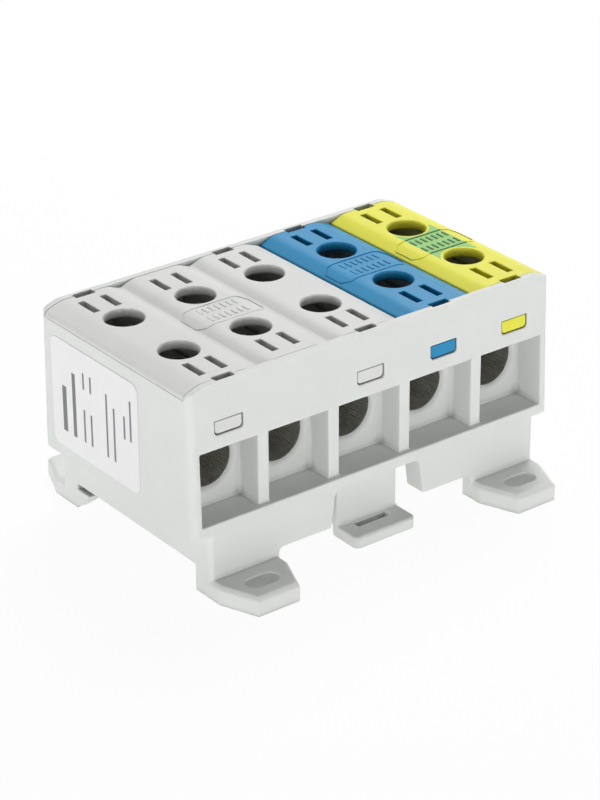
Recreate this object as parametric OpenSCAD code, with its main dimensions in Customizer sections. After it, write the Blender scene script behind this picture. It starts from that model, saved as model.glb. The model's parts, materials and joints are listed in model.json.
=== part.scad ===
// Five-pole main-line terminal block with screw feet, rail hooks and a sprung rail latch.
// Millimetres. X runs along the poles, -Y is the front, +Z is up, z = 0 is the sole of the feet.

/* [Poles] */
// Distance between the poles under the shared cover
phase_pitch = 18; // [17.8:0.1:19]
// Width of the cover over a single pole
cover_width = 19.5; // [19.3:0.1:21]

/* [Body] */
// Height of the cover crests above the sole of the feet
top_z = 48; // [45:0.5:54]
// Depth of the body at its lower edge, front face to rear face
body_depth = 54.6; // [54:0.2:57]
// How far the front and rear walls lean in at the top
wall_draft = 0.9; // [0.3:0.1:1.2]
// Height of the underside of the upper body
body_z = 14.6; // [13.8:0.1:15.2]
// Radius of the upright corners
corner_r = 1.8; // [0.8:0.1:2]
// Thickness of the end walls
end_wall = 2.35; // [2:0.05:2.6]
// Thickness of the walls between the poles
pole_wall = 2.8; // [2.4:0.1:3.2]
// Thickness of the front and rear walls at their lower edge
side_wall = 2.4; // [2.1:0.1:2.8]

/* [Wire chambers] */
// Height of the chamber floor
chamber_z = 17; // [16.6:0.1:17.6]
// Height of the chamber ceiling
ceiling_z = 33.4; // [33:0.1:34.4]
// Thickness of the ceiling over the chamber
ceiling_t = 1.5; // [1.2:0.1:2]
// Distance from the middle of the block to the back wall of a chamber
chamber_back = 19.5; // [19.2:0.1:20.5]
// How far the walls between the chambers stand behind the lower front edge
divider_setback = 1.5; // [0.8:0.1:2.5]
// Radius of the conductor bore
bore_r = 5.9; // [5:0.1:6.1]
// Height of the conductor bore axis
bore_z = 26.6; // [26.2:0.1:27]
// Radius of the rounded entry into the bore
entry_r = 1.4; // [0.8:0.1:1.5]

/* [Covers] */
// Depth of the end wall tops, which the covers rest on, below the crests
cover_t = 2.6; // [2:0.1:3]
// Half width of the flat crest over a pole
crest_half = 5.8; // [5:0.1:6.4]
// Angle of the slopes beside a crest, degrees
slope_angle = 20.3; // [12:0.1:21]
// Radius that softens the crest edges
crest_r = 6.5; // [2:0.5:7]
// Radius that softens the valleys
soft_r = 2; // [0.5:0.1:3]
// Radius of the shoulders at the two ends of the block, where the wall leaves room for it
shoulder_r = 1.3; // [0.4:0.1:1.4]
// Radius of the cover edges at a seam
lip_r = 0.6; // [0.2:0.1:0.7]
// Radius of the screw access holes
access_r = 4.25; // [4.2:0.05:4.6]
// Thickness of a cover around its screw access holes
rim_t = 1.8; // [1.6:0.1:2.2]
// Width of the thinner ring around a screw access hole
rim_w = 1.2; // [0.8:0.1:1.4]
// Distance from the middle of the block to the screw rows
screw_y = 9.7; // [9.2:0.1:10.2]
// Width of a tag slot
slot_w = 1.6; // [1.2:0.1:2]
// Length of a tag slot
slot_l = 6.2; // [5:0.1:6.6]
// Distance from the pole centre to a tag slot, along the poles
slot_x = 2.72; // [2.2:0.02:3.2]
// Distance from the middle of the block to the centre of a tag slot
slot_y = 18.65; // [18.2:0.05:19.2]
// Gap between neighbouring covers
cover_gap = 0.3; // [0.1:0.05:0.4]

/* [Snap tabs] */
// Width of a tab window in the front and rear walls
window_w = 7.1; // [6:0.1:8]
// Height of the lower edge of a window above the ceiling of the chambers
window_rise = 1.5; // [1:0.1:2]
// Height of a window
window_h = 3.2; // [2.6:0.1:3.6]
// Radius of the lower window corners
window_r = 0.9; // [0.4:0.1:1.2]
// How far a tab face lies behind the wall face
tab_sink = 0.3; // [0.1:0.05:0.6]
// Thickness of a snap leg
leg_t = 1.4; // [1:0.1:1.8]
// Width of a pry notch
notch_w = 4.7; // [4:0.1:6.2]
// Depth of a pry notch into the wall
notch_wall = 0.8; // [0.4:0.1:1]
// Depth of a pry notch into the cover edge
notch_cover = 1; // [0.5:0.1:1.3]

/* [Clamps] */
// Depth of the top of the terminal bodies below the end wall tops
terminal_drop = 3.9; // [3:0.1:5]
// Metal left under the conductor bore
terminal_floor = 1.7; // [1.4:0.1:2]
// Outer radius of a clamp screw
screw_r = 4; // [3.5:0.1:4.1]
// Gap between the tip of a wound-out clamp screw and the conductor bore
screw_lift = 0.3; // [0.2:0.1:1]
// Depth of the top of a wound-out clamp screw below the end wall tops
screw_sink = 0.8; // [0.4:0.05:1.2]
// Distance across the flats of the hexagon socket
socket_af = 4; // [3:0.1:5]
// Depth of the hexagon socket
socket_depth = 4.5; // [3:0.1:6]
// Edge chamfer of a clamp screw
screw_chamfer = 0.5; // [0.2:0.1:0.8]

/* [Base] */
// Height of the base underside, where the rail seats
rail_z = 6; // [5.6:0.1:6.4]
// How far the base stands back from each end of the body
base_inset = 3.95; // [3:0.05:5]
// Thickness of the front and rear skirts
skirt_t = 5.4; // [5:0.1:6]
// Thickness of the end webs of the base
web_t = 3; // [2.4:0.1:4]
// Distance from the middle to the inner webs
web_x = 14; // [13.8:0.1:16]
// Thickness of the inner webs
web_inner_t = 2.4; // [1.8:0.1:2.6]
// How far the inner webs hang below the underside of the body
web_drop = 3.2; // [2:0.1:3.4]
// Size of the cut upright corners of the base
base_cut = 0.8; // [0.4:0.1:1.2]

/* [Feet] */
// Thickness of a screw foot
foot_t = 4.4; // [3.6:0.1:5]
// Width of a screw foot at the skirt
foot_w = 17.5; // [16:0.1:18.5]
// Width of a screw foot at its front edge
foot_nose_w = 10.4; // [9.6:0.1:12]
// How far a screw foot stands out from the skirt
foot_out = 11.5; // [10.5:0.1:13]
// Thickness of the leg of a screw foot
foot_leg_t = 3; // [2.6:0.1:3.6]
// Straight part of a foot side before it tapers
foot_straight = 2.7; // [1.5:0.1:3.5]
// Distance from the skirt to the middle of a screw slot
foot_slot_out = 5.8; // [5.4:0.1:6.4]
// Width of a screw slot
foot_slot_w = 4.2; // [3.6:0.1:4.6]
// Length of a screw slot
foot_slot_l = 7.7; // [6.5:0.1:8]
// Radius of the fillet between foot and skirt
foot_fillet = 1.2; // [0.6:0.1:1.5]
// Bevel of the upper edges of a foot
foot_bevel = 0.8; // [0.4:0.1:1.2]

/* [Rail hooks] */
// Width of a hook
hook_w = 3; // [2.4:0.1:4]
// Height of the slot that takes the rail edge
hook_slot = 1.3; // [1.1:0.05:1.5]
// Distance from the middle to the tip of a hook
hook_tip_y = 17; // [16.5:0.1:18]
// Distance from the middle to the bottom of the hook slot
hook_end_y = 21.5; // [20:0.1:21.5]
// Height of the upright tip of a hook
hook_tip_h = 0.9; // [0.6:0.1:1.4]

/* [Rail latch] */
// Width of the latch tongue
latch_w = 16; // [14:0.1:17]
// Thickness of the latch tongue
latch_t = 1.5; // [1.4:0.1:1.8]
// Distance of the hinge line of the tongue behind the front face
latch_setback = 4.6; // [4.4:0.1:4.9]
// Drop of the hinge line below the underside of the body
latch_drop = 0.6; // [0.5:0.05:0.9]
// Height of the sole of the latch
latch_z = 0.5; // [0.3:0.1:1]
// Thickness of the pry ledge
ledge_t = 2.7; // [2:0.1:3.2]
// Radius of the front corners of the pry ledge
ledge_r = 1.3; // [0.6:0.1:2]
// Radius of the upper front edge of the pry ledge
ledge_edge_r = 0.7; // [0.3:0.1:1]
// Radius of the fillet between the tongue and the pry ledge
ledge_fillet = 0.6; // [0.4:0.1:0.8]
// Radius of the lower rear edge of the latch
sole_r = 1; // [0.6:0.1:1.2]
// How far the pry ledge stands out from the front face
ledge_out = 2.9; // [1.7:0.1:4.5]
// Width of the screwdriver slot in the ledge
pry_w = 8.4; // [6:0.1:9]
// Length of the screwdriver slot in the ledge
pry_l = 1.6; // [1.2:0.1:1.8]
// Distance of the middle of the screwdriver slot behind the front face
pry_setback = 2; // [1.6:0.1:2.2]
// Distance from the middle to the tip of the latch nose
nose_y = 13.9; // [13:0.1:15.5]
// Height of the upright tip of the latch nose
nose_tip_h = 0.9; // [0.6:0.1:1.2]
// Half width of the latch cut-out at the base underside
gate_low_half = 12.3; // [11.6:0.1:12.6]
// Half width of the latch cut-out at its upper edge
gate_top_half = 11.1; // [10.4:0.1:11.5]
// Radius of the upper corners of the latch cut-out
gate_r = 1.6; // [0.5:0.1:2.5]
// Height of skirt left above the latch cut-out, below the underside of the body
gate_drop = 0.2; // [0.1:0.05:0.4]

/* [End label] */
// Length of the end label
label_l = 31.7; // [26:0.1:33]
// Height of the lower edge of the label above the lower edge of the body
label_rise = 2.9; // [2:0.1:6]
// Depth of the upper edge of the label below the crests
label_drop = 5.5; // [5:0.1:9]
// Distance of the label centre behind the middle of the block
label_y = 7; // [5:0.1:8]
// Corner radius of the label
label_r = 2; // [1:0.1:3]
// Thickness of the label
label_t = 0.15; // [0.1:0.01:0.25]

/* [Fits] */
// Side clearance of a cover in the mouth of the body
cover_fit = 0.1; // [0.05:0.01:0.2]
// Clearance around a snap tab in its window
tab_fit = 0.2; // [0.1:0.01:0.3]
// Clearance around a terminal body in its pocket
terminal_fit = 0.1; // [0.05:0.01:0.15]
// Radial clearance of a clamp screw in its thread
screw_fit = 0.05; // [0.02:0.01:0.08]
// How far the latch hinge bead stands out beyond each side of the tongue
bead_lip = 0.1; // [0.05:0.05:0.2]
// Radial clearance of the latch hinge bead in its groove
hinge_fit = 0.05; // [0.02:0.01:0.08]
// Edge chamfer of the screw access holes
rim_chamfer = 0.3; // [0.1:0.05:0.5]

/* [Hidden] */
$fn = 64;
over = 1;
bite = 0.03;
arc_steps = 6;
entry_steps = 8;
socket_sides = 6;
body_l = 2 * phase_pitch + 3 * cover_width;
half_l = body_l / 2;
half_d = body_depth / 2;
half_mouth = half_d - side_wall;
lean_z = (body_z + chamber_z) / 2;
draft_angle = atan(wall_draft / (top_z - lean_z));
pole_1 = -half_l + cover_width / 2;
seam_1 = half_l - 2 * cover_width;
seam_2 = half_l - cover_width;
pole_x = [pole_1, pole_1 + phase_pitch, pole_1 + 2 * phase_pitch,
  (seam_1 + seam_2) / 2, (seam_2 + half_l) / 2];
last = len(pole_x) - 1;
phase_poles = [pole_x[0], pole_x[1], pole_x[2]];
phase_tabs = [pole_x[0], pole_x[2]];
tab_x = [pole_x[0], pole_x[2], pole_x[3], pole_x[4]];
cell_edge = [for (i = [0:last - 1]) (pole_x[i] + pole_x[i + 1]) / 2];
cell_left = [for (i = [0:last]) i == 0 ? -half_l + end_wall : cell_edge[i - 1] + pole_wall / 2];
cell_right = [for (i = [0:last]) i == last ? half_l - end_wall : cell_edge[i] - pole_wall / 2];
seat_z = top_z - cover_t;
window_z = ceiling_z + ceiling_t + window_rise;
slope = tan(slope_angle);
lip_z = top_z - slope * (cover_width / 2 - crest_half);
outer_r = min(shoulder_r, (lip_z - seat_z - bite) / tan(45 - slope_angle / 2));
pocket_half_w = min(cover_width / 2 - end_wall, (phase_pitch - pole_wall) / 2);
pocket_half_l = chamber_back - entry_r;
terminal_z = bore_z - bore_r - terminal_floor;
terminal_h = seat_z - terminal_drop - terminal_z;
terminal_half_w = pocket_half_w - terminal_fit;
terminal_half_l = pocket_half_l - terminal_fit;
screw_top_z = seat_z - screw_sink;
screw_l = screw_top_z - bore_z - bore_r - screw_lift;
cover_half_d = half_mouth - cover_fit;
window_mid = window_z + window_h / 2;
tab_face_y = half_d - wall_draft * (window_mid - lean_z) / (top_z - lean_z) - tab_sink;
base_half_l = half_l - base_inset;
skirt_in = half_d - skirt_t;
leg_in = half_d - foot_leg_t;
foot_x = base_half_l - foot_w / 2;
foot_y = half_d + foot_out;
foot_slot_span = 2 * (half_d + foot_slot_out);
slot_cc = foot_slot_l - foot_slot_w;
hook_z = rail_z - hook_slot;
hinge_z = body_z - latch_drop;
latch_y = half_d - latch_setback;
ledge_y = half_d + ledge_out;
pry_y = half_d - pry_setback;
bead_r = latch_t / 2 + bead_lip;
latch_front = latch_y + latch_t / 2;
latch_rear = latch_y - latch_t / 2;
ledge_top = latch_z + ledge_t;
nose_z = hook_z;
label_h = top_z - label_drop - body_z - label_rise;
label_z = body_z + label_rise + label_h / 2;

// Unit vector
function unit(v) = v / norm(v);

// Points that round the corner b between a and c
function rounded(a, b, c, r) =
  let (u = unit(a - b))
  let (w = unit(c - b))
  let (half = acos(u * w) / 2)
  let (mid = b + unit(u + w) * r / sin(half))
  let (first = b + u * r / tan(half) - mid)
  let (side = u[0] * w[1] - u[1] * w[0] > 0 ? -1 : 1)
  let (sweep = side * (180 - 2 * half))
  [for (i = [0:arc_steps]) let (t = sweep * i / arc_steps)
    mid + [first[0] * cos(t) - first[1] * sin(t), first[0] * sin(t) + first[1] * cos(t)]];

// Corners of the top line of a cover over the given poles, from left to right
function crest_line(poles, left, right) =
  let (n = len(poles) - 1)
  concat([[left, seat_z], [left, top_z - slope * (poles[0] - crest_half - left)]],
    [for (i = [0:n]) each [[poles[i] - crest_half, top_z], [poles[i] + crest_half, top_z],
      if (i < n) [(poles[i] + poles[i + 1]) / 2,
        top_z - slope * ((poles[i + 1] - poles[i]) / 2 - crest_half)]]],
    [[right, top_z - slope * (right - poles[n] - crest_half)], [right, seat_z]]);

// Radius at corner i of a top line: a crest edge, a valley, an outer shoulder or the edge at a seam
function top_radius(p, i) =
  i > 1 && i < len(p) - 2 ? (p[i][1] == top_z ? crest_r : soft_r) :
  abs(p[i][0]) == half_l ? outer_r : lip_r;

// A top line with its corners softened
function soft_line(p) =
  let (n = len(p) - 1)
  concat([p[0]], [for (i = [1:n - 1]) each rounded(p[i - 1], p[i], p[i + 1], top_radius(p, i))], [p[n]]);

// Outline of the body seen from the front, with the shoulders of the covers
function shoulder_line() =
  soft_line([[-half_l, body_z], [-half_l, lip_z], [pole_x[0] - crest_half, top_z],
    [pole_x[last] + crest_half, top_z], [half_l, lip_z], [half_l, body_z]]);

// Extrudes a front-view outline along the depth
module along_depth(depth) {
  rotate([90, 0, 0]) linear_extrude(height = depth, center = true) children();
}

// Extrudes a side-view outline along the poles
module along_poles(length) {
  rotate([90, 0, 90]) linear_extrude(height = length, center = true) children();
}

// A box given by its lower and upper corners
module block(low, high) {
  translate(low) cube(high - low);
}

// Repeats its children at the front and, turned about the upright axis of symmetry, at the rear
module front_and_rear() {
  children();
  mirror([0, 1, 0]) children();
}

// Repeats its children on the left and mirrored on the right
module both_ends() {
  children();
  mirror([1, 0, 0]) children();
}

// Rounds one upright corner of the leaning body
module corner_cut() {
  inset = corner_r - bite;
  low = body_z - lean_z - over;
  high = top_z - lean_z + over;
  translate([half_l - inset, half_d - inset, lean_z]) rotate([draft_angle, 0, 0]) difference() {
    translate([0, 0, low]) cube([corner_r + over, corner_r + over, high - low]);
    translate([0, 0, low - over]) cylinder(r = corner_r, h = high - low + 2 * over);
  }
}

// The upper body before it is hollowed out
module upper_body() {
  difference() {
    intersection() {
      along_poles(body_l) polygon([[-half_d, body_z], [half_d, body_z], [half_d, lean_z],
        [half_d - wall_draft, top_z], [-half_d + wall_draft, top_z], [-half_d, lean_z]]);
      along_depth(body_depth + 2 * over) polygon(shoulder_line());
    }
    front_and_rear() both_ends() corner_cut();
  }
}

// Plan of the base with cut corners
module base_plan() {
  x = base_half_l;
  y = half_d;
  c = base_cut;
  polygon([[-x + c, -y], [x - c, -y], [x, -y + c], [x, y - c],
    [x - c, y], [-x + c, y], [-x, y - c], [-x, -y + c]]);
}

// Hollow base: skirts, end webs and two lower inner webs
module base_ring() {
  difference() {
    translate([0, 0, rail_z]) linear_extrude(height = lean_z - rail_z) base_plan();
    block([-base_half_l + web_t, -skirt_in, rail_z - over],
      [base_half_l - web_t, skirt_in, body_z - web_drop]);
    block([-web_x + web_inner_t / 2, -skirt_in, rail_z - over],
      [web_x - web_inner_t / 2, skirt_in, body_z]);
    both_ends() block([web_x + web_inner_t / 2, -skirt_in, rail_z - over],
      [base_half_l - web_t, skirt_in, body_z]);
  }
}

// Corners of one screw foot in plan, from its left root along the nose to its right root, then its leg
function foot_corners() = [[-foot_w / 2, -half_d], [-foot_w / 2, -half_d - foot_straight],
  [-foot_nose_w / 2, -foot_y], [foot_nose_w / 2, -foot_y], [foot_w / 2, -half_d - foot_straight],
  [foot_w / 2, -half_d], [foot_w / 2, -leg_in], [-foot_w / 2, -leg_in]];

// Bevels the upper edge at height z from p to q, with the material on the left of the way from p to q
module edge_bevel(p, q, z, size) {
  along = q - p;
  translate([p[0], p[1], z]) rotate([0, 0, atan2(along[1], along[0])]) translate([norm(along) / 2, 0, 0])
    along_poles(norm(along) + 2 * over)
      polygon([[-over, over], [-over, -size - over], [size + over, over]]);
}

// Rounds the upper edge at height z from p to q, with the material on the left of the way from p to q
module edge_round(p, q, z, r) {
  along = q - p;
  translate([p[0], p[1], z]) rotate([0, 0, atan2(along[1], along[0])]) difference() {
    translate([-over, -over, -r]) cube([norm(along) + 2 * over, r + over, r + over]);
    translate([-2 * over, r, -r]) rotate([0, 90, 0]) cylinder(r = r, h = norm(along) + 4 * over);
  }
}

// Plan of one screw slot
module slot_plan() {
  square([slot_cc, foot_slot_w], center = true);
  both_ends() translate([slot_cc / 2, 0]) circle(d = foot_slot_w);
}

// One screw foot: flat plate with bevelled upper edges in front, leg up to the skirt that is deeper
// at the outer end, fillet beside it
module foot() {
  corners = foot_corners();
  difference() {
    union() {
      difference() {
        linear_extrude(height = foot_t) polygon(corners);
        for (i = [0:4]) edge_bevel(corners[i], corners[i + 1], foot_t, foot_bevel);
      }
      intersection() {
        union() {
          block([-foot_w / 2, -half_d, 0], [foot_w / 2, -leg_in, rail_z + over]);
          block([foot_w / 2 - hook_w, -half_d, 0], [foot_w / 2, -skirt_in, rail_z + over]);
        }
        translate([-foot_x, 0, 0]) linear_extrude(height = rail_z + over) base_plan();
      }
      translate([-foot_w / 2 - foot_fillet, -half_d, rail_z - foot_fillet])
        cube([foot_fillet + over, foot_leg_t, foot_fillet + over]);
    }
    translate([-foot_w / 2 - foot_fillet, 0, rail_z - foot_fillet]) rotate([90, 0, 0])
      cylinder(r = foot_fillet, h = 2 * half_d);
    translate([0, -foot_slot_span / 2, -over]) linear_extrude(height = foot_t + 2 * over) slot_plan();
  }
}

// One rail hook on a rear leg
module hook() {
  translate([base_half_l - hook_w / 2, 0, 0]) along_poles(hook_w)
    polygon([[skirt_in + over, 0], [skirt_in, 0], [hook_tip_y, hook_z - hook_tip_h], [hook_tip_y, hook_z],
      [hook_end_y, hook_z], [hook_end_y, rail_z], [skirt_in + over, rail_z]]);
}

// Outline of a tab window, shrunk by a clearance
module window_outline(fit) {
  w = window_w / 2 - fit;
  low = window_z + fit;
  high = window_z + window_h - fit;
  p = [[-w, high], [-w, low], [w, low], [w, high]];
  polygon(concat([p[0]], rounded(p[0], p[1], p[2], window_r),
    rounded(p[1], p[2], p[3], window_r), [p[3]]));
}

// Rounded entry of one conductor bore, cut from the back wall of a chamber
module entry_cut() {
  mouth_r = bore_r + entry_r;
  rotate([-90, 0, 0]) rotate_extrude()
    polygon(concat([[0, -chamber_back - over], [mouth_r, -chamber_back - over]],
      [for (i = [0:entry_steps]) let (t = 90 * i / entry_steps)
        [mouth_r - entry_r * sin(t), -chamber_back + entry_r - entry_r * cos(t)]],
      [[bore_r, -pocket_half_l + over], [0, -pocket_half_l + over]]));
}

// Everything hollowed out of one pole of the body
module pole_cut(i) {
  front_and_rear() block([cell_left[i], -half_d - over, chamber_z],
    [cell_right[i], -chamber_back, ceiling_z]);
  block([cell_left[i], -half_mouth, ceiling_z + ceiling_t],
    [cell_right[i], half_mouth, top_z + over]);
  block([pole_x[i] - pocket_half_w, -pocket_half_l, terminal_z],
    [pole_x[i] + pocket_half_w, pocket_half_l, top_z + over]);
  front_and_rear() translate([pole_x[i], 0, bore_z]) entry_cut();
}

// Outline of the latch cut-out in the front skirt
module gate_outline() {
  high = body_z - gate_drop;
  p = [[-gate_low_half, rail_z], [-gate_top_half, high], [gate_top_half, high], [gate_low_half, rail_z]];
  polygon(concat([[-gate_low_half, rail_z - over], p[0]], rounded(p[0], p[1], p[2], gate_r),
    rounded(p[1], p[2], p[3], gate_r), [p[3], [gate_low_half, rail_z - over]]));
}

module housing() {
  color("#dddfdc") difference() {
    union() {
      upper_body();
      base_ring();
      front_and_rear() both_ends() translate([foot_x, 0, 0]) foot();
      both_ends() hook();
    }
    for (i = [0:last]) pole_cut(i);
    block([-half_l - over, -half_mouth, seat_z], [half_l + over, half_mouth, top_z + over]);
    front_and_rear() block([cell_left[0], -half_d - over, chamber_z],
      [cell_right[last], -half_d + divider_setback, ceiling_z]);
    for (x = tab_x) {
      translate([x, 0, 0]) along_depth(body_depth + 2 * over) window_outline(0);
      front_and_rear() block([x - notch_w / 2, -half_mouth - notch_wall, seat_z],
        [x + notch_w / 2, 0, top_z + over]);
    }
    translate([0, -half_d, 0]) along_depth(2 * skirt_t + over) gate_outline();
    translate([-latch_w / 2 - over, -latch_y, hinge_z]) rotate([0, 90, 0])
      cylinder(r = bead_r + hinge_fit, h = latch_w + 2 * over);
  }
}

// One snap leg with the tab that shows in its window
module snap_leg() {
  leg_half_w = window_w / 2 - tab_fit;
  snap_in = cover_half_d - leg_t;
  block([-leg_half_w, -cover_half_d, window_mid], [leg_half_w, -snap_in, lip_z - lip_r]);
  translate([0, -(tab_face_y + snap_in) / 2, 0]) along_depth(tab_face_y - snap_in) window_outline(tab_fit);
}

// One cover: softened crests and valleys, snap legs, access holes, tag slots and pry notches
module cover(poles, tabs, left, right) {
  difference() {
    union() {
      along_depth(2 * cover_half_d) polygon(soft_line(crest_line(poles, left, right)));
      for (x = tabs) front_and_rear() translate([x, 0, 0]) snap_leg();
    }
    for (x = poles) front_and_rear() translate([x, -screw_y, 0]) {
      translate([0, 0, seat_z - over]) cylinder(r = access_r, h = cover_t + 2 * over);
      translate([0, 0, seat_z - over]) cylinder(r = access_r + rim_w, h = cover_t - rim_t + over);
      translate([0, 0, top_z - rim_chamfer])
        cylinder(r1 = access_r, r2 = access_r + 2 * rim_chamfer, h = 2 * rim_chamfer);
    }
    for (x = poles) front_and_rear() for (s = [-1, 1])
      translate([x + s * slot_x, -slot_y, top_z]) cube([slot_w, slot_l, 4 * cover_t], center = true);
    for (x = tabs) front_and_rear()
      block([x - notch_w / 2, -cover_half_d - over, seat_z],
        [x + notch_w / 2, -cover_half_d + notch_cover, top_z + over]);
  }
}

module phase_cover() {
  color("#d9dbd8") cover(phase_poles, phase_tabs, -half_l, seam_1 - cover_gap / 2);
}

module neutral_cover() {
  color("#4b9fd6") cover([pole_x[3]], [pole_x[3]], seam_1 + cover_gap / 2, seam_2 - cover_gap / 2);
}

module earth_cover() {
  color("#f2ee6a") cover([pole_x[4]], [pole_x[4]], seam_2 + cover_gap / 2, half_l);
}

// Terminal body: extruded block with the conductor bore and two tapped holes
module terminal(i) {
  color("#a9adb0") translate([pole_x[i], 0, 0]) difference() {
    block([-terminal_half_w, -terminal_half_l, terminal_z],
      [terminal_half_w, terminal_half_l, terminal_z + terminal_h]);
    translate([0, 0, bore_z]) rotate([90, 0, 0])
      cylinder(r = bore_r, h = 2 * terminal_half_l + 2 * over, center = true);
    front_and_rear() translate([0, -screw_y, bore_z]) cylinder(r = screw_r + screw_fit, h = terminal_h);
  }
}

// Clamp screw: chamfered threaded pin with a hexagon socket
module clamp_screw(i, side) {
  color("#4a4a48") translate([pole_x[i], side * screw_y, screw_top_z - screw_l]) difference() {
    union() {
      cylinder(r1 = screw_r - screw_chamfer, r2 = screw_r, h = screw_chamfer);
      translate([0, 0, screw_chamfer]) cylinder(r = screw_r, h = screw_l - 2 * screw_chamfer);
      translate([0, 0, screw_l - screw_chamfer])
        cylinder(r1 = screw_r, r2 = screw_r - screw_chamfer, h = screw_chamfer);
    }
    translate([0, 0, screw_l - socket_depth]) linear_extrude(height = socket_depth + over)
      circle(r = socket_af / 2 / cos(180 / socket_sides), $fn = socket_sides);
  }
}

module terminal_1() { terminal(0); }
module terminal_2() { terminal(1); }
module terminal_3() { terminal(2); }
module terminal_4() { terminal(3); }
module terminal_5() { terminal(4); }
module clamp_screw_1_front() { clamp_screw(0, -1); }
module clamp_screw_1_rear() { clamp_screw(0, 1); }
module clamp_screw_2_front() { clamp_screw(1, -1); }
module clamp_screw_2_rear() { clamp_screw(1, 1); }
module clamp_screw_3_front() { clamp_screw(2, -1); }
module clamp_screw_3_rear() { clamp_screw(2, 1); }
module clamp_screw_4_front() { clamp_screw(3, -1); }
module clamp_screw_4_rear() { clamp_screw(3, 1); }
module clamp_screw_5_front() { clamp_screw(4, -1); }
module clamp_screw_5_rear() { clamp_screw(4, 1); }

// Side view of the latch, from the front of the ledge along the sole, round the nose and down the tongue
function latch_profile() =
  let (front = [-ledge_y, latch_z])
  let (heel = [-latch_rear, latch_z])
  let (root = [-latch_rear, ledge_top])
  let (neck = [-latch_front, ledge_top])
  let (head = [-latch_front, hinge_z])
  let (lip = [-ledge_y, ledge_top])
  concat([front], rounded(front, heel, root, sole_r),
    [root, [-nose_y, nose_z - nose_tip_h], [-nose_y, nose_z], [-latch_rear, nose_z],
      [-latch_rear, hinge_z], head],
    rounded(head, neck, lip, ledge_fillet), [lip]);

// Rail latch: tongue on a hinge bead, pry ledge in front, nose that grips the rail edge behind
module rail_latch() {
  color("#d6d8d5") difference() {
    union() {
      translate([-latch_w / 2, -latch_y, hinge_z]) rotate([0, 90, 0]) cylinder(r = bead_r, h = latch_w);
      along_poles(latch_w) polygon(latch_profile());
    }
    both_ends() translate([latch_w / 2 - ledge_r, -ledge_y + ledge_r, latch_z - over]) difference() {
      translate([0, -ledge_r - over, 0]) cube([ledge_r + over, ledge_r + over, ledge_t + 2 * over]);
      translate([0, 0, -over]) cylinder(r = ledge_r, h = ledge_t + 4 * over);
    }
    edge_round([-latch_w / 2, -ledge_y], [latch_w / 2, -ledge_y], ledge_top, ledge_edge_r);
    translate([0, -pry_y, latch_z]) cube([pry_w, pry_l, 4 * ledge_t], center = true);
  }
}

// End label: thin plate with rounded corners on the left end wall
module end_label() {
  w = label_l / 2;
  h = label_h / 2;
  p = [[-w, -h], [w, -h], [w, h], [-w, h]];
  color("#ebebec") translate([-half_l - label_t / 2, label_y, label_z]) along_poles(label_t)
    polygon(concat(rounded(p[3], p[0], p[1], label_r), rounded(p[0], p[1], p[2], label_r),
      rounded(p[1], p[2], p[3], label_r), rounded(p[2], p[3], p[0], label_r)));
}

housing();
phase_cover();
neutral_cover();
earth_cover();
terminal_1();
terminal_2();
terminal_3();
terminal_4();
terminal_5();
clamp_screw_1_front();
clamp_screw_1_rear();
clamp_screw_2_front();
clamp_screw_2_rear();
clamp_screw_3_front();
clamp_screw_3_rear();
clamp_screw_4_front();
clamp_screw_4_rear();
clamp_screw_5_front();
clamp_screw_5_rear();
rail_latch();
end_label();
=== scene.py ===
"""Looks of a five-pole terminal block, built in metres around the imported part, in the part's own frame."""
import json
import math

import bmesh
import bpy
from mathutils import Color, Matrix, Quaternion, Vector


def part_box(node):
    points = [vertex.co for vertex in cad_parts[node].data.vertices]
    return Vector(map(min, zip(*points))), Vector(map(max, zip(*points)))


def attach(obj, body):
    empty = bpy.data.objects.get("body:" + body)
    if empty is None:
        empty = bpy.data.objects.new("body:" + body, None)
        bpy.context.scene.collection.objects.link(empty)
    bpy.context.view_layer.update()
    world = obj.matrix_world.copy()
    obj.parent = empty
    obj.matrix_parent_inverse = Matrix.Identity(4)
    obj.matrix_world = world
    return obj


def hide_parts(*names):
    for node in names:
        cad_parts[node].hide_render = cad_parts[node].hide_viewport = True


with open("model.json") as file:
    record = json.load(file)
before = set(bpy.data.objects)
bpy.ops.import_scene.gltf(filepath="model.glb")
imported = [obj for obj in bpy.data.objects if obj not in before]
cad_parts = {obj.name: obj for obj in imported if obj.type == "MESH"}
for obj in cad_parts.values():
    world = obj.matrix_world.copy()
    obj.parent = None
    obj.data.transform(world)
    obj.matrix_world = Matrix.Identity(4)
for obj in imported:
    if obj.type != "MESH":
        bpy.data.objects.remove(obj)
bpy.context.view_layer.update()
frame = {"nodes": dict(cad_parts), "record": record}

MM = 0.001
POLES = 5
SIDES = ("front", "rear")

# Soft edges of the moulded pieces: widths, steps, and the angle from which an edge is rounded, which is
# larger on the covers, so that the shallow bends of their tops stay whole
HOUSING_EDGE = 0.3 * MM
COVER_EDGE = 0.22 * MM
LATCH_EDGE = 0.3 * MM
LABEL_EDGE = 0.05 * MM
EDGE_STEPS = 3
FACE_WEIGHT = 100
WELD_GAP = 0.001 * MM
SHARP_ANGLE = math.radians(32)
COVER_SHARP = math.radians(50)

# Rim of the housing under the covers, where its edges crowd: height, and its share of the rounding
RIM_H = 3.0 * MM
RIM_SHARE = 0.3

# Soft upright corners of the wire chambers, how far the stated openings stay clear of the chamber walls,
# and the radius of the bore entries, which the corners leave free
CHAMBER_SOFT = 0.8 * MM
CHAMBER_CLEAR = Vector((0.3, 0.2, 0.3)) * MM
ENTRY_R = 1.4 * MM
SOFT_STEPS = 6
SOFT_ROWS = 12
SOFT_SINK = 0.2 * MM

# Terminal bodies with a serrated conductor bore
TERMINAL_CHAMFER = 0.5 * MM
SERRATIONS = 72
SERRATION_DEPTH = 0.24 * MM
SERRATION_LAND = 0.3

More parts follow.
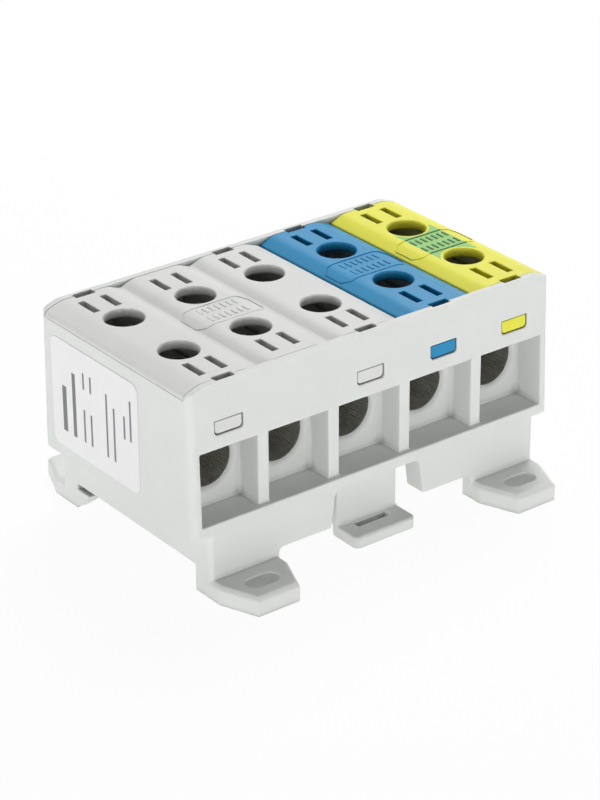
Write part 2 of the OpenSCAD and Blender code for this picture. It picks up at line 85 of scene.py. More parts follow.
# Threads: profile as shares of the pitch, each on the root (0) or the crest (1), and how far a tap passes
# a screw's own ends
THREAD_PITCH = 1.0 * MM
THREAD_DEPTH = 0.55 * MM
THREAD_STEPS = 48
THREAD_FIT = 0.04 * MM
THREAD_PROFILE = ((0.0, 0), (0.14, 0), (0.5, 1), (0.64, 1))
TAP_BELOW = 3 * MM
TAP_ABOVE = 2 * MM

# Ends and socket of the clamp screws
SCREW_CHAMFER = 0.8 * MM
SCREW_TIP = 0.25 * MM
SOCKET_SIDES = 6
SOCKET_FLATS = 4.0 * MM
SOCKET_DEPTH = 4.5 * MM
SOCKET_CHAMFER = 0.25 * MM
SOCKET_CONE = 1.0 * MM

# Crest of a cover: flat middle, slopes beside it, and how far the bend between them reaches
CREST_HALF = 5.8 * MM
CREST_SLOPE = math.tan(math.radians(20.3))
CREST_SOFT = 1.16 * MM

# Raised marking fields on three of the crests, with plain bars in a frame
FIELD_HALF_X = 8.6 * MM
FIELD_HALF_Y = 4.3 * MM
FIELD_CHAMFER = 1.6 * MM
FIELD_LINE = 0.42 * MM
FIELD_FLAT = 0.56
FIELD_HEIGHT = 0.2 * MM
FIELD_SINK = 0.08 * MM
FIELD_STEP = 0.4 * MM
BAR_ROWS = (1.95 * MM, -1.95 * MM)
BARS_PER_ROW = 7
BAR_PITCH = 1.5 * MM
BAR_W = 0.62 * MM
BAR_L = 2.3 * MM
BAR_DRAFT = 0.12 * MM

# Printed earth mark between the access holes of the last pole
PRINT_LEFT = -4.9 * MM
PRINT_RIGHT = 5.2 * MM
PRINT_HALF_Y = 8.0 * MM
PRINT_RIM = 5.0 * MM
PRINT_T = 0.02 * MM
PRINT_STEPS = 20

# Plain upright rules printed on the end label: share of its length from the rear, start and end as shares
# of its height from the top, and width
RULE_W = 0.6 * MM
LABEL_RULES = (
    (0.145, 0.42, 0.84, 1.5 * MM), (0.26, 0.25, 0.84, 1.2 * MM),
    (0.378, 0.19, 0.34, RULE_W), (0.378, 0.53, 0.83, RULE_W),
    (0.46, 0.19, 0.34, RULE_W), (0.46, 0.54, 0.83, RULE_W),
    (0.643, 0.25, 0.83, RULE_W), (0.727, 0.34, 0.83, RULE_W),
    (0.845, 0.35, 0.56, RULE_W), (0.916, 0.18, 0.55, RULE_W),
)
RULE_T = 0.02 * MM

# Plastics: noises as size and detail, ranges of shade and roughness, strength and height of the relief
PLASTIC_MOTTLE = (9 * MM, 4)
PLASTIC_GRAIN = (0.28 * MM, 2)
PLASTIC_SHADES = (0.96, 1.03)
PLASTIC_ROUGHNESS = (0.37, 0.48)
PLASTIC_RELIEF = (0.16, 0.02 * MM)

# Print and label stock, in the same terms
FILM_MOTTLE = (4 * MM, 3)
FILM_FIBRE = (0.16 * MM, 3)
FILM_SHADES = (0.97, 1.02)
FILM_ROUGHNESS = (0.33, 0.46)
FILM_RELIEF = (0.1, 0.01 * MM)

# Metals, in the same terms, with streaks that are stretched along the depth
METAL_TARNISH = (2.5 * MM, 4)
METAL_STREAKS = (0.2 * MM, 3)
STREAK_SCALE = (1.0, 0.06, 1.0)
METAL_SHADES = (0.75, 1.2)
METAL_ROUGHNESS = (0.32, 0.52)
METAL_RELIEF = (0.25, 0.02 * MM)
TERMINAL_METALLIC = 0.7
SCREW_METALLIC = 0.85

# Strength of the reflection of plastic and print, and the range that most of a noise lies in
PLASTIC_SHINE = 0.28
NOISE_RANGE = (0.3, 0.7)

# Painted shade: the colour of the mouldings is darkened where an occlusion test finds seams, corners and
# narrow gaps, in place of the shade that falls there: how far it reaches, rays per sample, how open a place
# is that shows none, the share of the colour that is left deep in a gap, and the upward part of a normal
# that counts as a sole's
PAINTED_SHADE_REACH = 2.6 * MM
PAINTED_SHADE_SAMPLES = 8
PAINTED_SHADE_OPEN = 0.7
PAINTED_SHADE_SHARE = 0.08
SOLE_FACING = -0.7

# Colours as sRGB values out of COLOUR_MAX
COLOUR_MAX = 255
BODY_GREY = (222, 224, 221)
COVER_GREY = (219, 220, 217)
COVER_BLUE = (34, 138, 188)
COVER_YELLOW = (231, 228, 72)
PRINT_GREEN = (144, 200, 110)
MARK_GREEN = (66, 122, 68)
LABEL_WHITE = (236, 236, 236)
RULE_GREY = (120, 121, 122)
BORE_METAL = (196, 195, 187)
SCREW_METAL = (58, 57, 55)
FLOOR_WHITE = (250, 250, 250)

# Camera of the photograph
CAMERA_AZIMUTH = math.radians(-37.243)
CAMERA_ELEVATION = math.radians(26.772)
CAMERA_ROLL = math.radians(-0.391)
CAMERA_DISTANCE = 609.82 * MM
CAMERA_TARGET = Vector((0.401, 0.0, 21.04)) * MM
CAMERA_LENS = 127.91
CAMERA_SENSOR = 36.0
CAMERA_REACH = 16.0

# Lamp behind on the right
KEY_DIRECTION = Vector((0.47, 0.36, 0.8)).normalized()
KEY_DISTANCE = 0.9
KEY_SIZE = 0.6
KEY_POWER = 6.9

# Sky: strength at the horizon and above a low band, the upward part of a direction at both ends of the band,
# and the lean of the strength towards the front left
SKY_STRENGTH = (4.5, 0.2)
SKY_BAND = (0.0, 0.2)
SKY_FACING = Vector((-0.7, -0.7, 0.0))
SKY_LEAN = 0.85

# Floor: share of plain white that shows, share that it gives back as light, and half its width
FLOOR_SEEN = 0.94
FLOOR_BOUNCE = 0.5
FLOOR_HALF = 4.0


def shade(colour, factor=1.0):
    """Linear RGBA of an sRGB colour, made darker or lighter by a factor."""
    plain = Color([channel / COLOUR_MAX for channel in colour]).from_srgb_to_scene_linear()
    return (*(plain * factor), 1.0)


def feed(tree, socket, value):
    """Links an input to an output, or sets it to a plain value."""
    if isinstance(value, bpy.types.NodeSocket):
        tree.links.new(value, socket)
    else:
        socket.default_value = value


def maths(tree, operation, *values):
    """Works out a number from numbers and outputs."""
    node = tree.nodes.new("ShaderNodeMath")
    node.operation = operation
    for socket, value in zip(node.inputs, values):
        feed(tree, socket, value)
    return node.outputs["Value"]


def map_range(tree, value, source, target, easing="LINEAR"):
    """Maps a value from one range to another."""
    node = tree.nodes.new("ShaderNodeMapRange")
    node.interpolation_type = easing
    for end, number in zip(("From Min", "From Max", "To Min", "To Max"), source + target):
        node.inputs[end].default_value = number
    tree.links.new(value, node.inputs["Value"])
    return node.outputs["Result"]


def upward(tree, vector):
    """The upward part of a vector."""
    node = tree.nodes.new("ShaderNodeSeparateXYZ")
    tree.links.new(vector, node.inputs["Vector"])
    return node.outputs["Z"]


def mix_colours(tree, factor, first, second):
    """Mixes two colours by a factor."""
    node = tree.nodes.new("ShaderNodeMix")
    node.data_type = "RGBA"
    for name, value in (("Factor", factor), ("A", first), ("B", second)):
        feed(tree, node.inputs[name], value)
    return node.outputs["Result"]


def mix_shaders(tree, factor, first, second):
    """Mixes two shaders by a factor."""
    node = tree.nodes.new("ShaderNodeMixShader")
    for socket, source in zip(node.inputs, (factor, first, second)):
        tree.links.new(source, socket)
    return node.outputs["Shader"]


def noise(tree, coordinates, size, detail):
    """Noise with features of about the given size, from 0 to 1."""
    node = tree.nodes.new("ShaderNodeTexNoise")
    node.inputs["Scale"].default_value = 1 / size
    node.inputs["Detail"].default_value = detail
    tree.links.new(coordinates, node.inputs["Vector"])
    return node.outputs["Fac"]


def tint(tree, value, colour, shades):
    """Varies a colour between two shades by a noise value."""
    dark, light = shades
    return mix_colours(tree, value, shade(colour, dark), shade(colour, light))


def relief(tree, shader, height, strength, distance):
    """Gives the shader a bumped normal."""
    node = tree.nodes.new("ShaderNodeBump")
    node.inputs["Strength"].default_value = strength
    node.inputs["Distance"].default_value = distance
    tree.links.new(height, node.inputs["Height"])
    tree.links.new(node.outputs["Normal"], shader.inputs["Normal"])


def painted_gap_shade(tree, colour, deep):
    """Paints shade into a colour, darker towards a dark one in seams, corners and narrow gaps, but not on
    soles that lie on a floor.
    """
    # Painted shade: an occlusion test darkens the colour where shade falls in seams, corners and gaps
    near = tree.nodes.new("ShaderNodeAmbientOcclusion")
    near.samples = PAINTED_SHADE_SAMPLES
    near.inputs["Distance"].default_value = PAINTED_SHADE_REACH
    clear = map_range(tree, near.outputs["AO"], (0, PAINTED_SHADE_OPEN), (0, 1))
    normal = tree.nodes.new("ShaderNodeNewGeometry").outputs["True Normal"]
    sole = maths(tree, "LESS_THAN", upward(tree, normal), SOLE_FACING)
    return mix_colours(tree, maths(tree, "MAXIMUM", clear, sole), deep, colour)


def new_material(name):
    """An empty node material with its Principled shader and object coordinates."""
    material = bpy.data.materials.new(name)
    material.use_nodes = True
    tree = material.node_tree
    shader = tree.nodes["Principled BSDF"]
    coordinates = tree.nodes.new("ShaderNodeTexCoord").outputs["Object"]
    return material, tree, shader, coordinates


def moulded_plastic(name, colour):
    """Injection-moulded plastic: faint mottling, uneven gloss, fine spark-eroded grain, and shade painted
    into the colour in seams, corners and narrow gaps.
    """
    material, tree, shader, coordinates = new_material(name)
    mottle = noise(tree, coordinates, *PLASTIC_MOTTLE)
    mottled = tint(tree, mottle, colour, PLASTIC_SHADES)
    # Shade painted into the colour in seams, corners and narrow gaps
    shade_painted = painted_gap_shade(tree, mottled, shade(colour, PAINTED_SHADE_SHARE))
    feed(tree, shader.inputs["Base Color"], shade_painted)
    feed(tree, shader.inputs["Roughness"], map_range(tree, mottle, NOISE_RANGE, PLASTIC_ROUGHNESS))
    shader.inputs["Specular IOR Level"].default_value = PLASTIC_SHINE
    relief(tree, shader, noise(tree, coordinates, *PLASTIC_GRAIN), *PLASTIC_RELIEF)
    return material


def printed_film(name, colour):
    """Thin print or label stock: even colour with a slight fibre and gloss variation."""
    material, tree, shader, coordinates = new_material(name)
    mottle = noise(tree, coordinates, *FILM_MOTTLE)
    fibre = noise(tree, coordinates, *FILM_FIBRE)
    feed(tree, shader.inputs["Base Color"], tint(tree, mottle, colour, FILM_SHADES))
    feed(tree, shader.inputs["Roughness"], map_range(tree, fibre, NOISE_RANGE, FILM_ROUGHNESS))
    shader.inputs["Specular IOR Level"].default_value = PLASTIC_SHINE
    relief(tree, shader, fibre, *FILM_RELIEF)
    return material


def worked_metal(name, colour, metallic):
    """Drawn or turned metal with streaks along the depth and a little tarnish."""
    material, tree, shader, coordinates = new_material(name)
    stretch = tree.nodes.new("ShaderNodeMapping")
    stretch.inputs["Scale"].default_value = STREAK_SCALE
    tree.links.new(coordinates, stretch.inputs["Vector"])
    streaks = noise(tree, stretch.outputs["Vector"], *METAL_STREAKS)
    tarnish = noise(tree, coordinates, *METAL_TARNISH)
    feed(tree, shader.inputs["Base Color"], tint(tree, tarnish, colour, METAL_SHADES))
    feed(tree, shader.inputs["Roughness"], map_range(tree, streaks, NOISE_RANGE, METAL_ROUGHNESS))
    shader.inputs["Metallic"].default_value = metallic
    relief(tree, shader, streaks, *METAL_RELIEF)
    return material


MATERIALS = {
    "body_grey": moulded_plastic("body_grey", BODY_GREY),
    "cover_grey": moulded_plastic("cover_grey", COVER_GREY),
    "cover_blue": moulded_plastic("cover_blue", COVER_BLUE),
    "cover_yellow": moulded_plastic("cover_yellow", COVER_YELLOW),
    "terminal_metal": worked_metal("terminal_metal", BORE_METAL, TERMINAL_METALLIC),
    "screw_metal": worked_metal("screw_metal", SCREW_METAL, SCREW_METALLIC),
    "label_white": printed_film("label_white", LABEL_WHITE),
    "print_green": printed_film("print_green", PRINT_GREEN),
    "mark_green": printed_film("mark_green", MARK_GREEN),
    "print_grey": printed_film("print_grey", RULE_GREY),
}


def finish_node(node, slot, edge, sharp=SHARP_ANGLE):
    """Gives a part of the frame its material, and rounds its edges without touching its mesh."""
    piece = frame["nodes"][node]
    piece.data.materials.clear()
    piece.data.materials.append(MATERIALS[slot])
    weld = piece.modifiers.new("weld", "WELD")
    weld.merge_threshold = WELD_GAP
    edges = piece.modifiers.new("edges", "BEVEL")
    edges.width = edge
    edges.segments = EDGE_STEPS
    edges.limit_method = "ANGLE"
    edges.angle_limit = sharp
    edges.use_clamp_overlap = False
    edges.loop_slide = False
    normals = piece.modifiers.new("normals", "WEIGHTED_NORMAL")
    normals.keep_sharp = True
    normals.weight = FACE_WEIGHT


def finer_rim(node):
    """Rounds the edges of a part less along its rim, with weights that are worked out before the rounding."""
    group = bpy.data.node_groups.new("edge_weights", "GeometryNodeTree")
    for way in ("INPUT", "OUTPUT"):
        group.interface.new_socket("Geometry", in_out=way, socket_type="NodeSocketGeometry")
    start = group.nodes.new("NodeGroupInput").outputs["Geometry"]
    end = group.nodes.new("NodeGroupOutput").inputs["Geometry"]
    angle = group.nodes.new("GeometryNodeInputMeshEdgeAngle").outputs["Unsigned Angle"]
    place = group.nodes.new("GeometryNodeInputPosition").outputs["Position"]
    sharp = maths(group, "GREATER_THAN", angle, SHARP_ANGLE)
    rim = maths(group, "GREATER_THAN", upward(group, place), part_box(node)[1].z - RIM_H)
    share = maths(group, "MULTIPLY_ADD", rim, RIM_SHARE - 1, 1)
    store = group.nodes.new("GeometryNodeStoreNamedAttribute")
    store.domain = "EDGE"
    store.data_type = "FLOAT"
    store.inputs["Name"].default_value = "bevel_weight_edge"
    group.links.new(start, store.inputs["Geometry"])
    group.links.new(maths(group, "MULTIPLY", sharp, share), store.inputs["Value"])
    group.links.new(store.outputs["Geometry"], end)
    modifiers = frame["nodes"][node].modifiers
    modifiers.new("weights", "NODES").node_group = group
    modifiers.move(modifiers.find("weights"), modifiers.find("edges"))
    modifiers["edges"].limit_method = "WEIGHT"


def middle(node):
    """Centre of a part of the frame."""
    low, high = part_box(node)
    return (low + high) / 2


def named(entries, name):
    """The entry with a name in one of the record's lists."""
    return next(entry for entry in entries if entry["name"] == name)


def wire_bore(pole):
    """Centre and radius of the conductor bore of a pole."""
    mount = named(frame["record"]["mounts"], f"wire_bore_{pole}")
    return Vector(mount["pos_m"]), mount["dims"]["r_mm"] * MM


def add_object(name, data):
    """Adds an object to the scene."""
    thing = bpy.data.objects.new(name, data)
    bpy.context.scene.collection.objects.link(thing)
    return thing


def closed_mesh(name, shape):
    """Turns a bmesh into a mesh whose faces look outwards."""
    bmesh.ops.recalc_face_normals(shape, faces=shape.faces)
    mesh = bpy.data.meshes.new(name)
    shape.to_mesh(mesh)
    shape.free()
    return mesh


def new_piece(name, shape, materials, body="block"):
    """Makes a piece of the object from a bmesh, smooth apart from its sharp edges."""
    mesh = closed_mesh(name, shape)
    mesh.shade_smooth()
    mesh.set_sharp_from_angle(angle=SHARP_ANGLE)
    for material in materials:
        mesh.materials.append(MATERIALS[material])
    piece = add_object(name, mesh)
    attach(piece, body)
    return piece


def ring(shape, points):
    """Adds a closed ring of vertices."""
    return [shape.verts.new(point) for point in points]


def skin(shape, lower, upper):
    """Joins two rings that have the same number of vertices."""
    count = len(lower)
    for i in range(count):
        j = (i + 1) % count
        shape.faces.new((lower[i], lower[j], upper[j], upper[i]))


def fan(shape, edge_ring, point):
    """Closes a ring towards one point."""
    centre = shape.verts.new(point)
    count = len(edge_ring)
    for i in range(count):
        shape.faces.new((edge_ring[i], edge_ring[(i + 1) % count], centre))


def frustum(shape, low, high, draft):
    """Adds a box from low to high whose sides lean in by draft at the top."""
    corners = ((0, 0), (1, 0), (1, 1), (0, 1))
    base = ring(shape, [((low.x, high.x)[i], (low.y, high.y)[j], low.z) for i, j in corners])
    top = ring(shape, [((low.x + draft, high.x - draft)[i], (low.y + draft, high.y - draft)[j], high.z)
                       for i, j in corners])
    skin(shape, base, top)
    shape.faces.new(top)
    shape.faces.new(base[::-1])


def chamfered(left, right, bottom, top, chamfer):
    """Corners of a rectangle with chamfered corners."""
    return [(left + chamfer, bottom), (right - chamfer, bottom), (right, bottom + chamfer),
            (right, top - chamfer), (right - chamfer, top), (left + chamfer, top),
            (left, top - chamfer), (left, bottom + chamfer)]


def threaded_pin(shape, centre, radius, low, high):
    """Adds the threaded side of a pin about an upright axis, and returns its lower and upper end rings."""
    root = radius - THREAD_DEPTH
    end = radius - SCREW_CHAMFER
    # A turn more at each end is pressed flat into the end ring
    turns = math.ceil((high - low) / THREAD_PITCH) + 2
    per_turn = len(THREAD_PROFILE)
    columns = []
    for step in range(THREAD_STEPS):
        turn = step / THREAD_STEPS
        angle = math.tau * turn
        column = []
        for row in range(turns * per_turn + 1):
            along, crest = THREAD_PROFILE[row % per_turn]
            height = low + THREAD_PITCH * (row // per_turn + along + turn - 1)
            height = min(max(height, low), high)
            reach = end + min(height - low, high - height)
            out = min(radius if crest else root, reach)
            place = (centre.x + out * math.cos(angle), centre.y + out * math.sin(angle), height)
            column.append(shape.verts.new(place))
        columns.append(column)
    last = len(columns[0]) - 1
    for step in range(THREAD_STEPS):
        this = columns[step]
        ahead = columns[(step + 1) % THREAD_STEPS]
        # The last column meets the first one a turn further up
        shift = per_turn if step == THREAD_STEPS - 1 else 0
        for row in range(last):
            upper = min(row + 1 + shift, last)
            lower = min(row + shift, last)
            corners = (this[row], ahead[lower], ahead[upper], this[row + 1])
            if len(set(corners)) == 4:
                shape.faces.new(corners)
            elif len(set(corners)) == 3:
                shape.faces.new((this[row], ahead[lower], this[row + 1]))
    return [column[0] for column in columns], [column[-1] for column in columns]


def socket_outline(centre, flats, height):
    """Points along a hexagon, as many as a thread has steps, each in the direction of its step."""
    side = math.tau / SOCKET_SIDES
    points = []
    for step in range(THREAD_STEPS):
        angle = math.tau * step / THREAD_STEPS
        out = flats / 2 / math.cos(angle % side - side / 2)
        points.append((centre.x + out * math.cos(angle), centre.y + out * math.sin(angle), height))
    return points


def clamp_screw(pole, side):
    """A threaded set screw with a hexagon socket, in place of the plain pin."""
    node = f"clamp_screw_{pole}_{side}"
    low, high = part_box(node)
    centre = middle(node)
    radius = (high.x - low.x) / 2
    shape = bmesh.new()
    bottom, top = threaded_pin(shape, centre, radius, low.z + SCREW_TIP, high.z)
    fan(shape, bottom, (centre.x, centre.y, low.z))
    mouth = ring(shape, socket_outline(centre, SOCKET_FLATS + 2 * SOCKET_CHAMFER, high.z))
    edge = ring(shape, socket_outline(centre, SOCKET_FLATS, high.z - SOCKET_CHAMFER))
    floor = ring(shape, socket_outline(centre, SOCKET_FLATS, high.z - SOCKET_DEPTH))
    skin(shape, top, mouth)
    skin(shape, mouth, edge)
    skin(shape, edge, floor)
    fan(shape, floor, (centre.x, centre.y, high.z - SOCKET_DEPTH - SOCKET_CONE))
    bmesh.ops.remove_doubles(shape, verts=shape.verts, dist=WELD_GAP)
    piece = new_piece(f"set_screw_{pole}_{side}", shape, ["screw_metal"], node)
    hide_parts(node)


def thread_cutter(pole, side, top):
    """A slightly oversize threaded pin that taps the hole of a clamp screw."""
    node = f"clamp_screw_{pole}_{side}"
    low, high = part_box(node)
    centre = middle(node)
    radius = (high.x - low.x) / 2 + THREAD_FIT
    heights = (low.z - TAP_BELOW, top + TAP_ABOVE)
    shape = bmesh.new()
    for end_ring, height in zip(threaded_pin(shape, centre, radius, *heights), heights):
        fan(shape, end_ring, (centre.x, centre.y, height))
    bmesh.ops.remove_doubles(shape, verts=shape.verts, dist=WELD_GAP)
    return add_object("cutter", closed_mesh("cutter", shape))


def cut(piece, cutters):
    """Cuts the cutters out of a piece and removes them."""
    for cutter in cutters:
        modifier = piece.modifiers.new("cut", "BOOLEAN")
        modifier.operation = "DIFFERENCE"
        modifier.solver = "EXACT"
        modifier.object = cutter
    evaluated = piece.evaluated_get(bpy.context.evaluated_depsgraph_get())
    mesh = bpy.data.meshes.new_from_object(evaluated)
    piece.modifiers.clear()
    piece.data = mesh
    for cutter in cutters:
        bpy.data.objects.remove(cutter)


def bore_outline(centre, bore, depth):
    """Points round a bore with fine lengthwise grooves."""
    points = []
    for i in range(SERRATIONS):
        for share, out in ((0, 0), (SERRATION_LAND, 0), ((1 + SERRATION_LAND) / 2, SERRATION_DEPTH)):
            angle = math.tau * (i + share) / SERRATIONS
            reach = bore + out
            points.append((centre.x + reach * math.cos(angle), depth, centre.z + reach * math.sin(angle)))
    return points


def terminal(pole):
    """A terminal body with a serrated bore and two tapped holes, in place of the plain block."""
    node = f"terminal_{pole}"
    low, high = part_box(node)
    centre, bore = wire_bore(pole)
    corners = chamfered(low.x, high.x, low.z, high.z, TERMINAL_CHAMFER)
    outline = [(x, low.y, z) for x, z in corners]
    shape = bmesh.new()
    for points in (outline, bore_outline(centre, bore, low.y)):
        loop = ring(shape, points)
        for i, vertex in enumerate(loop):
            shape.edges.new((vertex, loop[(i + 1) % len(loop)]))
    bmesh.ops.triangle_fill(shape, use_beauty=True, edges=shape.edges)
    face = bmesh.ops.extrude_face_region(shape, geom=shape.faces[:])
    moved = [element for element in face["geom"] if isinstance(element, bmesh.types.BMVert)]
    bmesh.ops.translate(shape, verts=moved, vec=(0, high.y - low.y, 0))
    piece = new_piece(f"terminal_body_{pole}", shape, ["terminal_metal"])
    cut(piece, [thread_cutter(pole, side, high.z) for side in SIDES])
    piece.data.set_sharp_from_angle(angle=SHARP_ANGLE)
    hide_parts(node)


def soft_corner(shape, sections):
    """Adds a hollow corner strip through sections: corner, directions along its two walls, and radius."""
    rings = []
    for corner, first, second, radius in sections:
        points = [corner - (first + second) * SOFT_SINK]
        for step in range(SOFT_STEPS + 1):
            angle = math.pi / 2 * step / SOFT_STEPS
            beside = first * (1 - math.sin(angle)) + second * (1 - math.cos(angle))
            points.append(corner + beside * radius)
        rings.append(ring(shape, points))
    for lower, upper in zip(rings, rings[1:]):
        skin(shape, lower, upper)
    shape.faces.new(rings[0])
    shape.faces.new(rings[-1])


def chamber_corners(pole, side):
    """Soft corners up both sides of the back wall of one wire chamber, narrower beside the bore."""
    opening = named(frame["record"]["physics"]["openings"], f"wire_chamber_{pole}_{side}")
    low = Vector(opening["box_m"][0]) - CHAMBER_CLEAR
    high = Vector(opening["box_m"][1]) + CHAMBER_CLEAR
    centre, bore = wire_bore(pole)
    mouth = bore + ENTRY_R
    back, outward = (high.y, -1) if side == "front" else (low.y, 1)
    out = Vector((0, outward, 0))
    shape = bmesh.new()
    for wall, inward in ((low.x, 1), (high.x, -1)):
        along = Vector((inward, 0, 0))
        upright = []
        for row in range(SOFT_ROWS + 1):
            z = low.z + (high.z - low.z) * row / SOFT_ROWS
            beside = math.sqrt(max(mouth ** 2 - (z - centre.z) ** 2, 0.0))
            radius = min(CHAMBER_SOFT, abs(wall - centre.x) - beside)
            upright.append((Vector((wall, back, z)), along, out, radius))
        soft_corner(shape, upright)
    new_piece(f"chamber_corners_{pole}_{side}", shape, ["body_grey"])


def crest_height(beside):
    """Height of a cover's top at a distance beside the pole centre, from the crest down."""
    past = abs(beside) - CREST_HALF
    if past <= -CREST_SOFT:
        return 0.0
    if past >= CREST_SOFT:
        return -past * CREST_SLOPE
    return -CREST_SLOPE * (past + CREST_SOFT) ** 2 / (4 * CREST_SOFT)


def field_path():
    """Plan of a marking field: a rectangle with chamfered corners, in short steps."""
    plan = chamfered(-FIELD_HALF_X, FIELD_HALF_X, -FIELD_HALF_Y, FIELD_HALF_Y, FIELD_CHAMFER)
    corners = [Vector(corner) for corner in plan]
    points = []
    for i, corner in enumerate(corners):
        following = corners[(i + 1) % len(corners)]
        steps = max(1, round((following - corner).length / FIELD_STEP))
        points += [corner.lerp(following, step / steps) for step in range(steps)]
    return points


def marking_field(pole, cover, materials):
    """A raised frame that follows the crest, with two rows of plain bars in it, inked where the print is."""
    pole_x = middle(f"terminal_{pole}").x
    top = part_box(cover)[1].z
    foot, flat = FIELD_LINE / 2, FIELD_LINE * FIELD_FLAT / 2
    profile = ((-foot, -FIELD_SINK), (-flat, FIELD_HEIGHT), (flat, FIELD_HEIGHT), (foot, -FIELD_SINK))
    shape = bmesh.new()
    path = field_path()
    rings = []
    for i, point in enumerate(path):
        along = (path[(i + 1) % len(path)] - path[i - 1]).normalized()
        outward = Vector((along.y, -along.x))
        section = []
        for out, rise in profile:
            place = point + outward * out
            section.append((pole_x + place.x, place.y, top + crest_height(place.x) + rise))
        rings.append(ring(shape, section))
    for i, section in enumerate(rings):
        skin(shape, section, rings[(i + 1) % len(rings)])
    for row in BAR_ROWS:
        for bar in range(BARS_PER_ROW):
            x = pole_x + BAR_PITCH * (bar - (BARS_PER_ROW - 1) / 2)
            low = Vector((x - BAR_W / 2, row - BAR_L / 2, top - FIELD_SINK))
            high = Vector((x + BAR_W / 2, row + BAR_L / 2, top + FIELD_HEIGHT))
            frustum(shape, low, high, BAR_DRAFT)
    for face in shape.faces:
        inked = PRINT_LEFT < face.calc_center_median().x - pole_x < PRINT_RIGHT
        face.material_index = len(materials) - 1 if inked else 0
    new_piece(f"marking_field_{pole}", shape, materials)


def earth_print():
    """The green print between the two access holes of the last pole, cut back round their rims."""
    pole_x = middle(f"terminal_{POLES}").x
    access_y = middle(f"clamp_screw_{POLES}_rear").y
    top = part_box("earth_cover")[1].z
    outline = []
    for end in (1, -1):
        left, right = (PRINT_LEFT, PRINT_RIGHT) if end > 0 else (PRINT_RIGHT, PRINT_LEFT)
        for step in range(PRINT_STEPS + 1):
            x = left + (right - left) * step / PRINT_STEPS
            rim = access_y - math.sqrt(max(PRINT_RIM ** 2 - x ** 2, 0.0))
            outline.append((x, end * min(rim, PRINT_HALF_Y)))
    shape = bmesh.new()
    base = ring(shape, [(pole_x + x, y, top - PRINT_T + crest_height(x)) for x, y in outline])
    face = ring(shape, [(pole_x + x, y, top + PRINT_T + crest_height(x)) for x, y in outline])
    skin(shape, base, face)
    last = len(outline) - 1
    for sheet in (base, face):
        for i in range(PRINT_STEPS):
            shape.faces.new((sheet[i], sheet[i + 1], sheet[last - i - 1], sheet[last - i]))
    new_piece("earth_print", shape, ["print_green"])


def label_rules():
    """Plain printed rules on the end label, in place of any wording."""
    low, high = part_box("end_label")
    size = high - low
    shape = bmesh.new()
    for along, start, end, width in LABEL_RULES:
        y = high.y - size.y * along
        lower = Vector((low.x - RULE_T, y - width / 2, high.z - size.z * end))
        upper = Vector((low.x + RULE_T, y + width / 2, high.z - size.z * start))
        frustum(shape, lower, upper, 0)
    new_piece("label_rules", shape, ["print_grey"])


def seen_ray(tree):
    """One where the camera, metal or glass sees a surface, and zero where the surface only gives light."""
    path = tree.nodes.new("ShaderNodeLightPath")
    seen = path.outputs["Is Camera Ray"]
    for kind in ("Is Glossy Ray", "Is Transmission Ray"):
        seen = maths(tree, "MAXIMUM", seen, path.outputs[kind])
    return seen


def make_floor():
    """A pale floor that keeps a faint shadow, and that lets a camera below it see the underside."""
    material = bpy.data.materials.new("floor")
    material.use_nodes = True
    tree = material.node_tree
    tree.nodes.remove(tree.nodes["Principled BSDF"])
    diffuse = tree.nodes.new("ShaderNodeBsdfDiffuse")
    diffuse.inputs["Color"].default_value = shade(FLOOR_WHITE)
    glow = tree.nodes.new("ShaderNodeEmission").outputs["Emission"]
    clear = tree.nodes.new("ShaderNodeBsdfTransparent").outputs["BSDF"]
    below = tree.nodes.new("ShaderNodeNewGeometry").outputs["Backfacing"]
    lift = maths(tree, "MULTIPLY_ADD", seen_ray(tree), FLOOR_SEEN - FLOOR_BOUNCE, FLOOR_BOUNCE)
    lit = mix_shaders(tree, lift, diffuse.outputs["BSDF"], glow)
    sided = mix_shaders(tree, below, lit, clear)
    tree.links.new(sided, tree.nodes["Material Output"].inputs["Surface"])
    mesh = bpy.data.meshes.new("floor")
    corners = ((-1, -1), (1, -1), (1, 1), (-1, 1))
    mesh.from_pydata([(x * FLOOR_HALF, y * FLOOR_HALF, 0) for x, y in corners], [], [(0, 1, 2, 3)])
    mesh.materials.append(material)
    floor = add_object("floor", mesh)


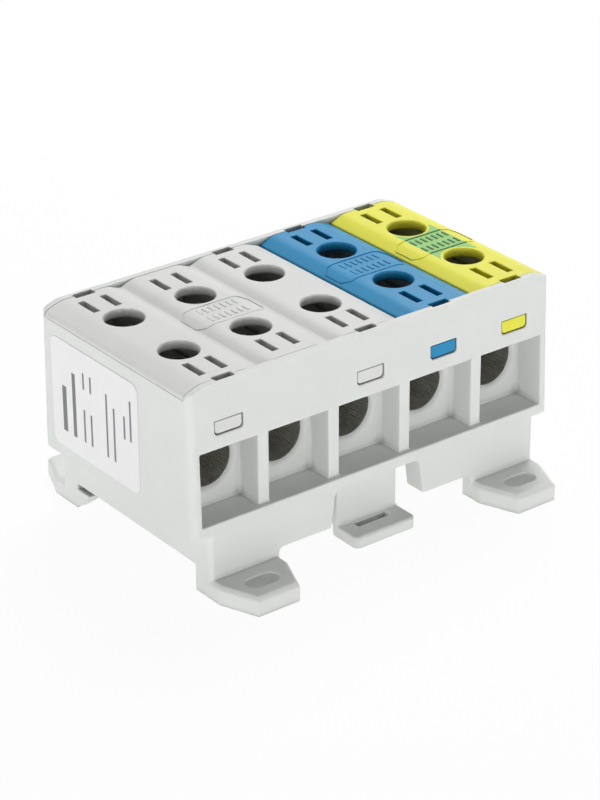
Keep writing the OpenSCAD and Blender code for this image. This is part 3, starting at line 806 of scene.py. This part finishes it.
def make_sky():
    """A soft sky, brightest near the horizon on one side, that the camera sees as plain white."""
    world = bpy.data.worlds.new("sky")
    bpy.context.scene.world = world
    world.use_nodes = True
    tree = world.node_tree
    tree.nodes.clear()
    direction = tree.nodes.new("ShaderNodeTexCoord").outputs["Generated"]
    facing = tree.nodes.new("ShaderNodeVectorMath")
    facing.operation = "DOT_PRODUCT"
    facing.inputs[1].default_value = SKY_FACING
    tree.links.new(direction, facing.inputs[0])
    fade = map_range(tree, upward(tree, direction), SKY_BAND, SKY_STRENGTH, "SMOOTHSTEP")
    lean = maths(tree, "MULTIPLY_ADD", facing.outputs["Value"], SKY_LEAN, 1)
    light = tree.nodes.new("ShaderNodeBackground")
    white = tree.nodes.new("ShaderNodeBackground")
    for background in (light, white):
        background.inputs["Color"].default_value = (1, 1, 1, 1)
    feed(tree, light.inputs["Strength"], maths(tree, "MULTIPLY", fade, lean))
    mixed = mix_shaders(tree, seen_ray(tree), light.outputs["Background"], white.outputs["Background"])
    output = tree.nodes.new("ShaderNodeOutputWorld")
    tree.links.new(mixed, output.inputs["Surface"])


def aim(name, data, towards, distance, roll=0.0):
    """Adds a lamp or camera that looks at the block from a direction."""
    thing = add_object(name, data)
    thing.location = CAMERA_TARGET + towards * distance
    thing.rotation_mode = "QUATERNION"
    thing.rotation_quaternion = (-towards).to_track_quat("-Z", "Y") @ Quaternion((0, 0, 1), roll)
    return thing


def make_lamp():
    """A large soft lamp."""
    light = bpy.data.lights.new("key", "AREA")
    light.shape = "DISK"
    light.size = KEY_SIZE
    light.energy = KEY_POWER
    aim("key", light, KEY_DIRECTION, KEY_DISTANCE)


def make_camera():
    """The camera of the photograph."""
    lens = bpy.data.cameras.new("camera")
    lens.lens = CAMERA_LENS
    lens.sensor_width = CAMERA_SENSOR
    lens.clip_end = CAMERA_REACH
    flat = math.cos(CAMERA_ELEVATION)
    back = Vector((math.sin(CAMERA_AZIMUTH) * flat, -math.cos(CAMERA_AZIMUTH) * flat,
                   math.sin(CAMERA_ELEVATION)))
    bpy.context.scene.camera = aim("camera", lens, back, CAMERA_DISTANCE, CAMERA_ROLL)


finish_node("housing", "body_grey", HOUSING_EDGE)
finer_rim("housing")
finish_node("phase_cover", "cover_grey", COVER_EDGE, COVER_SHARP)
finish_node("neutral_cover", "cover_blue", COVER_EDGE, COVER_SHARP)
finish_node("earth_cover", "cover_yellow", COVER_EDGE, COVER_SHARP)
finish_node("rail_latch", "body_grey", LATCH_EDGE)
finish_node("end_label", "label_white", LABEL_EDGE)
for pole in range(1, POLES + 1):
    terminal(pole)
    for side in SIDES:
        clamp_screw(pole, side)
        chamber_corners(pole, side)
marking_field(2, "phase_cover", ["cover_grey"])
marking_field(4, "neutral_cover", ["cover_blue"])
marking_field(5, "earth_cover", ["cover_yellow", "mark_green"])
earth_print()
label_rules()
make_floor()
make_sky()
make_lamp()
make_camera()
bpy.context.scene.view_settings.view_transform = "Standard"
